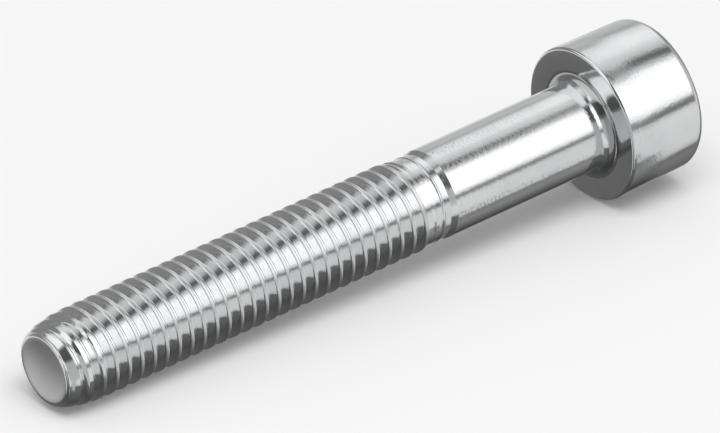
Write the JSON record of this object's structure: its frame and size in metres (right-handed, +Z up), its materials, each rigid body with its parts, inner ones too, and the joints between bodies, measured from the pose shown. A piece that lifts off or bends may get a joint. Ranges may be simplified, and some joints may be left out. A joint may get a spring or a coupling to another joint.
{
  "type": "hexagon socket head cap screw",
  "caption": "Cheese head machine screw with a hexagon socket, a plain shank under the head and a rolled thread to a chamfered, dished point, in bright zinc plated steel.",
  "frame": {"origin": "centre of the bounding box on the plane the screw lies on", "axes": "+X along the screw from its point towards its head, in the upright plane that holds the screw's axis, which leans 3.06 degrees because the head is wider than the thread; +Z up; +Y across"},
  "size_m": [0.04, 0.0084, 0.0085],
  "materials": {
    "zinc_plated_steel": "bright zinc plate, smooth and mirror-like on the rolled and formed faces, duller in the dished end of the point"
  },
  "bodies": {
    "root": {"cheese_head_screw": "zinc_plated_steel"}
  },
  "joints": []
}
